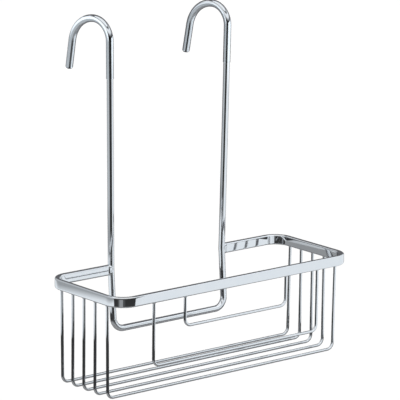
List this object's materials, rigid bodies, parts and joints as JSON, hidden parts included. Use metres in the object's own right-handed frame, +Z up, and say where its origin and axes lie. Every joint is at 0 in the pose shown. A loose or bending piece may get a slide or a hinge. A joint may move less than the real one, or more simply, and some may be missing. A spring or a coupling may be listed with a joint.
{
  "type": "shower caddy",
  "caption": "Chrome wire basket with a flat-bar rim, carried by two round rods that end in backward hooks with clear sleeves, to hang over a mixer or bar.",
  "frame": {"origin": "on the axis of the bar that the hooks hang over, midway between the two uprights", "axes": "+X along that bar and along the basket's long side, +Y towards the wall behind, +Z up; the basket hangs at negative Z and its front faces -Y"},
  "size_m": [0.3, 0.1692, 0.3537],
  "materials": {
    "chrome": "mirror-polished plating",
    "clear_sleeve": "clear, smooth"
  },
  "bodies": {
    "root": {"hanger_frame": "chrome", "rim": "chrome", "rim_welds": "chrome", "floor_wire_welds": "chrome", "guard_welds": "chrome", "floor_wire_1": "chrome", "floor_wire_2": "chrome", "floor_wire_3": "chrome", "floor_wire_4": "chrome", "floor_wire_5": "chrome", "front_guard_outer": "chrome", "front_guard_inner": "chrome", "hook_sleeve_left": "clear_sleeve", "hook_sleeve_right": "clear_sleeve"}
  },
  "joints": []
}
